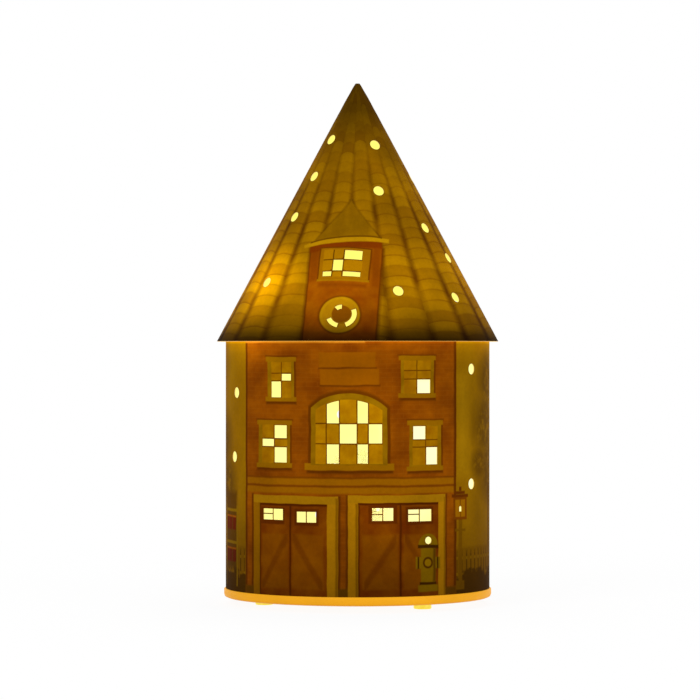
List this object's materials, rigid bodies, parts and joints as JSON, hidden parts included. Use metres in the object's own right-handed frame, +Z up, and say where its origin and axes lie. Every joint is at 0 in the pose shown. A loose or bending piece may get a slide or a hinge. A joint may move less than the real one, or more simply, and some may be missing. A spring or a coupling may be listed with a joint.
{
  "type": "light-up fire station house",
  "caption": "Drum-shaped table lamp as a fire station: rolled printed sheet wall with cut-out lit windows, lift-off cone roof, opal base with feet, screw-in bulb inside.",
  "frame": {"origin": "on the ground plane, under the middle of the drum", "axes": "+Z up along the drum's axis; -Y towards the front with the garage doors; +X to the right as seen from the front"},
  "size_m": [0.16, 0.16, 0.2958],
  "materials": {
    "printed_wall": "matt translucent polypropylene sheet, printed outside, lit from inside",
    "printed_roof": "matt translucent polypropylene sheet, printed outside, lit from inside",
    "opal_plastic": "opal moulded plastic that glows amber at its edge",
    "clear_rubber": "clear soft bumper",
    "white_ceramic": "glazed white steatite",
    "brass": "bright stamped brass",
    "steel": "zinc-plated steel",
    "nickel": "nickel plate",
    "solder": "dull solder",
    "black_glass": "black glass insulator",
    "clear_glass": "clear glass",
    "phosphor": "glowing phosphor-coated light stick",
    "black_plastic": "moulded black plastic",
    "red_sleeve": "red wire insulation",
    "black_sleeve": "black wire insulation"
  },
  "bodies": {
    "base": {"base_plate": "opal_plastic", "foot_1": "clear_rubber", "foot_2": "clear_rubber", "foot_3": "clear_rubber", "drum_sheet": "printed_wall", "lampholder_body": "white_ceramic", "lampholder_shell": "brass", "centre_contact": "brass", "shell_contact": "brass", "mounting_screw_1": "steel", "mounting_screw_2": "steel", "terminal_screw_1": "brass", "terminal_screw_2": "brass", "inlet_socket": "black_plastic", "inlet_pin": "nickel", "inlet_nut": "nickel", "inlet_tag_1": "nickel", "inlet_tag_2": "nickel", "lead_1": "red_sleeve", "lead_2": "black_sleeve"},
    "roof": {"roof_cone": "printed_roof", "roof_ring": "opal_plastic"},
    "bulb": {"bulb_cap": "nickel", "bulb_insulator": "black_glass", "bulb_tip": "solder", "bulb_glass": "clear_glass", "bulb_stem": "clear_glass", "lead_in_wires": "nickel", "anchor_wires": "nickel", "filament_1": "phosphor", "filament_2": "phosphor", "filament_3": "phosphor", "filament_4": "phosphor"}
  },
  "joints": [
    {"name": "roof_lift", "type": "slide", "parent": "base", "child": "roof", "axis": [0, 0, 1], "range_m": [0, 0.08]},
    {"name": "bulb_unscrew", "type": "slide", "parent": "base", "child": "bulb", "axis": [0, 0, 1], "range_m": [0, 0.02]}
  ]
}
